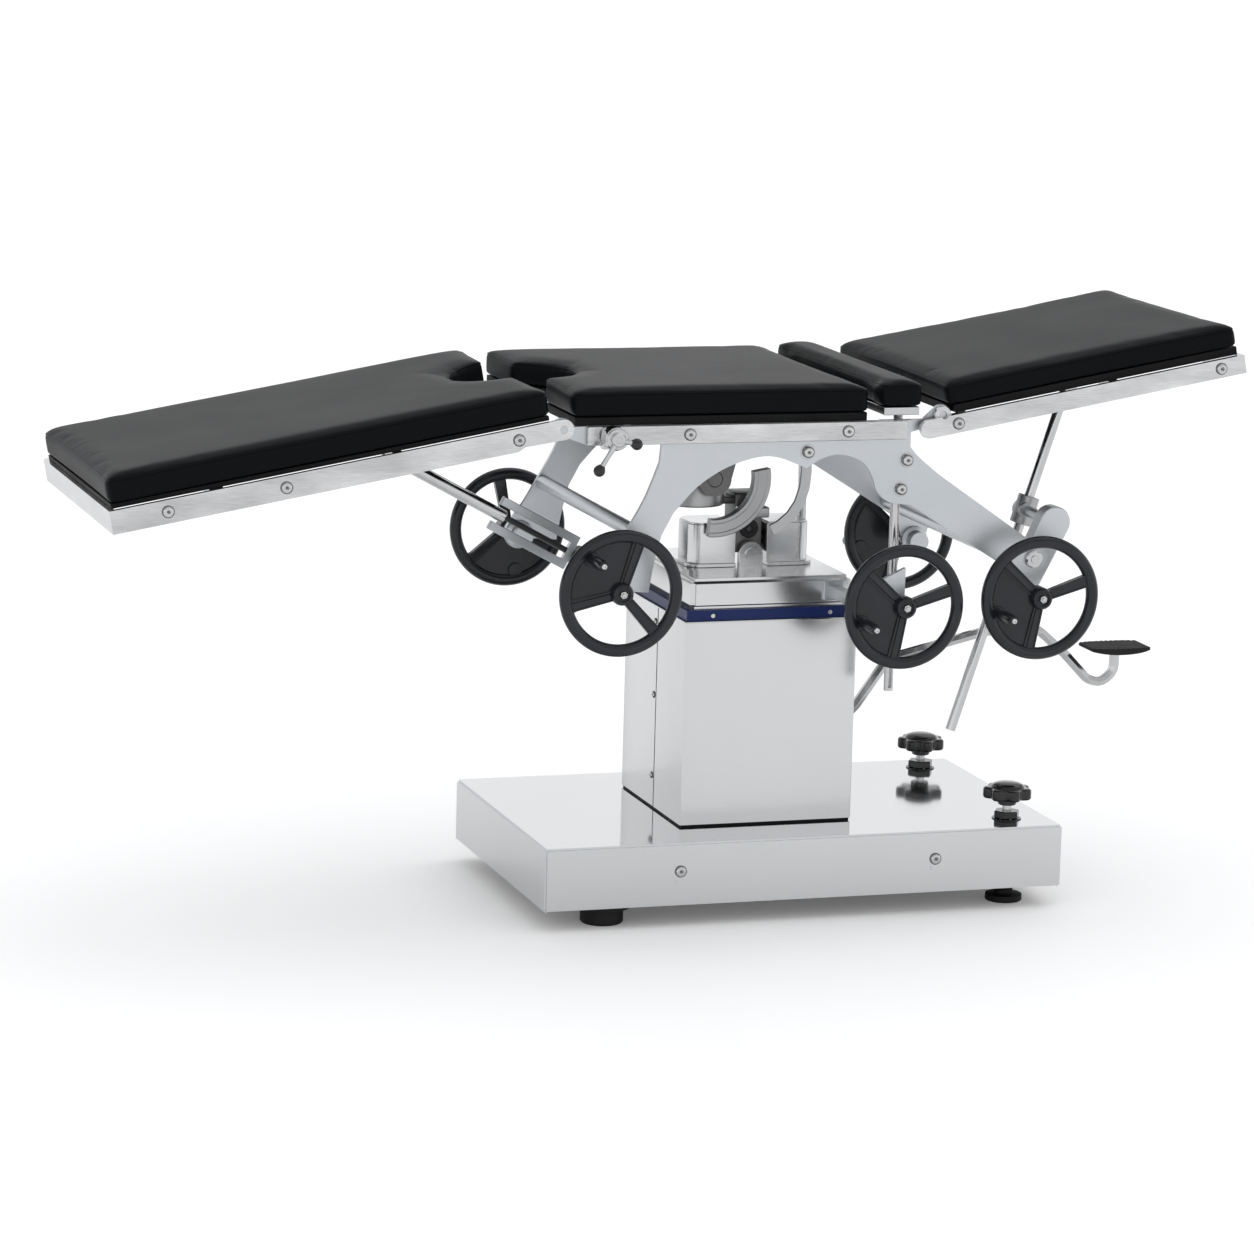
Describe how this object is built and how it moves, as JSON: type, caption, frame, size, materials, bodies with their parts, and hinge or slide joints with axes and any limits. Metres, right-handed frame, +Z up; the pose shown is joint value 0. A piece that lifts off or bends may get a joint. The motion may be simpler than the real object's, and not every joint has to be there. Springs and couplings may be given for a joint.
{
  "type": "hydraulic operating table",
  "caption": "Operating table on a hydraulic column: folding leg and back sections, rising kidney bridge, tilt head, handwheels, pump pedal and levelling feet.",
  "frame": {"origin": "on the floor, under the middle of the overall box in its stored pose", "axes": "+X towards the back and head end, -Y the near side with the pump pedal to its right, +Z up"},
  "size_m": [1.7266, 0.7126, 0.8775],
  "materials": {
    "back_board": "matt",
    "back_cushion": "semi-matt",
    "back_hinge_far": "satin",
    "back_hinge_near": "satin",
    "back_prop_nut": "black satin",
    "back_prop_rod": "polished",
    "back_rail": "brushed",
    "base_chassis": "dark satin",
    "base_cover": "brushed",
    "bridge_carrier": "satin",
    "bridge_cushion": "semi-matt",
    "bridge_guide_far": "satin",
    "bridge_guide_near": "satin",
    "clamp_body": "satin",
    "clamp_lever": "black satin",
    "column_cover_far": "brushed",
    "column_cover_near": "brushed",
    "cradle": "dark satin",
    "crescent_sector": "polished",
    "cross_tube_left": "satin",
    "cross_tube_right": "satin",
    "foot_far": "matt",
    "foot_near": "matt",
    "gear_case_back": "satin",
    "gear_case_leg": "satin",
    "handwheel_back": "gloss",
    "handwheel_bridge": "gloss",
    "handwheel_leg": "gloss",
    "handwheel_side": "gloss",
    "handwheel_tilt": "gloss",
    "head_lid": "brushed",
    "leg_board": "matt",
    "leg_cushion": "semi-matt",
    "leg_prop_screw": "black satin",
    "leg_prop_tube": "polished",
    "leg_prop_yoke": "satin",
    "leg_rail": "brushed",
    "level_foot_far": "matt",
    "level_foot_near": "matt",
    "level_knob_far": "gloss",
    "level_knob_near": "gloss",
    "lift_sleeve": "semi-gloss",
    "mid_wheel_arm": "satin",
    "pedal_bracket": "satin",
    "pedal_lever": "polished",
    "pedal_pad": "matt",
    "seat_board": "matt",
    "seat_cushion": "semi-matt",
    "seat_rail_far": "brushed",
    "seat_rail_near": "brushed",
    "seat_saddle": "dark satin",
    "side_plate_far": "satin",
    "side_plate_near": "satin",
    "tower_left": "polished",
    "tower_right": "polished",
    "wheel_peg_back": "gloss",
    "wheel_peg_bridge": "gloss",
    "wheel_peg_leg": "gloss",
    "wheel_peg_side": "gloss",
    "wheel_peg_tilt": "gloss"
  },
  "bodies": {
    "base": {"base_cover": "base_cover", "base_chassis": "base_chassis", "foot_near": "foot_near", "foot_far": "foot_far", "column_cover_near": "column_cover_near", "column_cover_far": "column_cover_far", "pedal_bracket": "pedal_bracket"},
    "lift": {"lift_sleeve": "lift_sleeve", "head_lid": "head_lid", "tower_left": "tower_left", "tower_right": "tower_right", "mid_wheel_arm": "mid_wheel_arm"},
    "cradle": {"cradle": "cradle", "crescent_sector": "crescent_sector"},
    "frame": {"seat_saddle": "seat_saddle", "side_plate_near": "side_plate_near", "side_plate_far": "side_plate_far", "seat_rail_near": "seat_rail_near", "seat_rail_far": "seat_rail_far", "back_hinge_near": "back_hinge_near", "back_hinge_far": "back_hinge_far", "bridge_guide_near": "bridge_guide_near", "bridge_guide_far": "bridge_guide_far", "seat_cushion": "seat_cushion", "seat_board": "seat_board", "cross_tube_left": "cross_tube_left", "cross_tube_right": "cross_tube_right", "gear_case_leg": "gear_case_leg", "gear_case_back": "gear_case_back", "clamp_body": "clamp_body"},
    "leg": {"leg_rail": "leg_rail", "leg_board": "leg_board", "leg_cushion": "leg_cushion"},
    "back": {"back_rail": "back_rail", "back_board": "back_board", "back_cushion": "back_cushion"},
    "bridge": {"bridge_cushion": "bridge_cushion", "bridge_carrier": "bridge_carrier"},
    "leg_prop_tube": {"leg_prop_tube": "leg_prop_tube"},
    "leg_prop_screw": {"leg_prop_screw": "leg_prop_screw", "leg_prop_yoke": "leg_prop_yoke"},
    "back_prop_rod": {"back_prop_rod": "back_prop_rod"},
    "back_prop_nut": {"back_prop_nut": "back_prop_nut"},
    "pedal": {"pedal_lever": "pedal_lever", "pedal_pad": "pedal_pad"},
    "clamp_lever": {"clamp_lever": "clamp_lever"},
    "level_foot_near": {"level_foot_near": "level_foot_near"},
    "level_knob_near": {"level_knob_near": "level_knob_near"},
    "level_foot_far": {"level_foot_far": "level_foot_far"},
    "level_knob_far": {"level_knob_far": "level_knob_far"},
    "handwheel_leg": {"handwheel_leg": "handwheel_leg"},
    "wheel_peg_leg": {"wheel_peg_leg": "wheel_peg_leg"},
    "handwheel_tilt": {"handwheel_tilt": "handwheel_tilt"},
    "wheel_peg_tilt": {"wheel_peg_tilt": "wheel_peg_tilt"},
    "handwheel_side": {"handwheel_side": "handwheel_side"},
    "wheel_peg_side": {"wheel_peg_side": "wheel_peg_side"},
    "handwheel_back": {"handwheel_back": "handwheel_back"},
    "wheel_peg_back": {"wheel_peg_back": "wheel_peg_back"},
    "handwheel_bridge": {"handwheel_bridge": "handwheel_bridge"},
    "wheel_peg_bridge": {"wheel_peg_bridge": "wheel_peg_bridge"}
  },
  "joints": [
    {"name": "lift_slide", "type": "slide", "parent": "base", "child": "lift", "axis": [0, 0, 1], "range_m": [0, 0.22]},
    {"name": "side_tilt", "type": "hinge", "parent": "lift", "child": "cradle", "pos_m": [0.15965, 0, 0.5363], "axis": [1, 0, 0], "range_deg": [-15, 15]},
    {"name": "length_tilt", "type": "hinge", "parent": "cradle", "child": "frame", "pos_m": [0.09265, 0, 0.6353], "axis": [0, 1, 0], "range_deg": [-20, 15]},
    {"name": "leg_fold", "type": "hinge", "parent": "frame", "child": "leg", "pos_m": [-0.20035, 0, 0.742], "axis": [0, -1, 0], "range_deg": [-10, 35]},
    {"name": "back_fold", "type": "hinge", "parent": "frame", "child": "back", "pos_m": [0.38265, 0, 0.752], "axis": [0, -1, 0], "range_deg": [-20, 45]},
    {"name": "bridge_rise", "type": "slide", "parent": "frame", "child": "bridge", "axis": [0, 0, 1], "range_m": [0, 0.1]},
    {"name": "leg_tube_swing", "type": "hinge", "parent": "leg", "child": "leg_prop_tube", "pos_m": [-0.41781, -0.105, 0.68738], "axis": [0, -1, 0], "range_deg": [-18, 5.5]},
    {"name": "leg_screw_swing", "type": "hinge", "parent": "frame", "child": "leg_prop_screw", "pos_m": [-0.12735, -0.105, 0.53], "axis": [0, -1, 0], "range_deg": [-5.5, 18]},
    {"name": "back_rod_swing", "type": "hinge", "parent": "back", "child": "back_prop_rod", "pos_m": [0.63423, -0.105, 0.77844], "axis": [0, -1, 0], "range_deg": [-23, 10.5]},
    {"name": "back_nut_swing", "type": "hinge", "parent": "frame", "child": "back_prop_nut", "pos_m": [0.57265, -0.105, 0.585], "axis": [0, -1, 0], "range_deg": [-10.5, 23]},
    {"name": "pedal_press", "type": "hinge", "parent": "base", "child": "pedal", "pos_m": [0.31465, 0, 0.236], "axis": [0, 1, 0], "range_deg": [0, 15], "stiffness_Nm_per_rad": 14, "springref_deg": -28.65},
    {"name": "clamp_turn", "type": "hinge", "parent": "frame", "child": "clamp_lever", "pos_m": [-0.13035, -0.243, 0.7315], "axis": [0, -1, 0], "range_deg": [0, 270]},
    {"name": "wheel_leg", "type": "hinge", "parent": "frame", "child": "handwheel_leg", "pos_m": [-0.12435, -0.29, 0.511], "axis": [0, 1, 0], "range_deg": [-250, 850]},
    {"name": "peg_leg", "type": "hinge", "parent": "handwheel_leg", "child": "wheel_peg_leg", "pos_m": [-0.17052, -0.29, 0.56228], "axis": [0, 1, 0], "continuous": true},
    {"name": "wheel_tilt", "type": "hinge", "parent": "frame", "child": "handwheel_tilt", "pos_m": [-0.12435, 0.29, 0.511], "axis": [0, 1, 0], "range_deg": [-490, 370]},
    {"name": "peg_tilt", "type": "hinge", "parent": "handwheel_tilt", "child": "wheel_peg_tilt", "pos_m": [-0.11118, 0.29, 0.44327], "axis": [0, 1, 0], "continuous": true},
    {"name": "wheel_side", "type": "hinge", "parent": "lift", "child": "handwheel_side", "pos_m": [0.31065, -0.29, 0.478], "axis": [0, 1, 0], "range_deg": [-370, 370]},
    {"name": "peg_side", "type": "hinge", "parent": "handwheel_side", "child": "wheel_peg_side", "pos_m": [0.24503, -0.29, 0.45668], "axis": [0, 1, 0], "continuous": true},
    {"name": "wheel_back", "type": "hinge", "parent": "frame", "child": "handwheel_back", "pos_m": [0.52465, -0.29, 0.485], "axis": [0, 1, 0], "range_deg": [-490, 1090]},
    {"name": "peg_back", "type": "hinge", "parent": "handwheel_back", "child": "wheel_peg_back", "pos_m": [0.45903, -0.29, 0.46368], "axis": [0, 1, 0], "continuous": true},
    {"name": "wheel_bridge", "type": "hinge", "parent": "frame", "child": "handwheel_bridge", "pos_m": [0.52465, 0.29, 0.485], "axis": [0, 1, 0], "range_deg": [-10, 698]},
    {"name": "peg_bridge", "type": "hinge", "parent": "handwheel_bridge", "child": "wheel_peg_bridge", "pos_m": [0.45903, 0.29, 0.46368], "axis": [0, 1, 0], "continuous": true},
    {"name": "level_turn_near", "type": "hinge", "parent": "base", "child": "level_knob_near", "pos_m": [0.53265, -0.18, 0.126], "axis": [0, 0, 1], "range_deg": [-1090, 1090]},
    {"name": "level_slide_near", "type": "slide", "parent": "base", "child": "level_foot_near", "axis": [0, 0, 1], "range_m": [-0.006, 0.006]},
    {"name": "level_turn_far", "type": "hinge", "parent": "base", "child": "level_knob_far", "pos_m": [0.53265, 0.18, 0.126], "axis": [0, 0, 1], "range_deg": [-1090, 1090]},
    {"name": "level_slide_far", "type": "slide", "parent": "base", "child": "level_foot_far", "axis": [0, 0, 1], "range_m": [-0.006, 0.006]}
  ],
  "couplings": [
    {"joint": "leg_tube_swing", "follows": "leg_fold", "ratio": -0.5},
    {"joint": "leg_screw_swing", "follows": "leg_fold", "ratio": 0.5},
    {"joint": "back_rod_swing", "follows": "back_fold", "ratio": -0.5},
    {"joint": "back_nut_swing", "follows": "back_fold", "ratio": 0.5},
    {"joint": "wheel_leg", "follows": "leg_fold", "ratio": 24},
    {"joint": "wheel_tilt", "follows": "length_tilt", "ratio": 24},
    {"joint": "wheel_side", "follows": "side_tilt", "ratio": 24},
    {"joint": "wheel_back", "follows": "back_fold", "ratio": 24},
    {"joint": "wheel_bridge", "follows": "bridge_rise", "rad_per_m": 120},
    {"joint": "level_turn_near", "follows": "level_slide_near", "rad_per_m": 3141.6},
    {"joint": "level_turn_far", "follows": "level_slide_far", "rad_per_m": 3141.6}
  ]
}
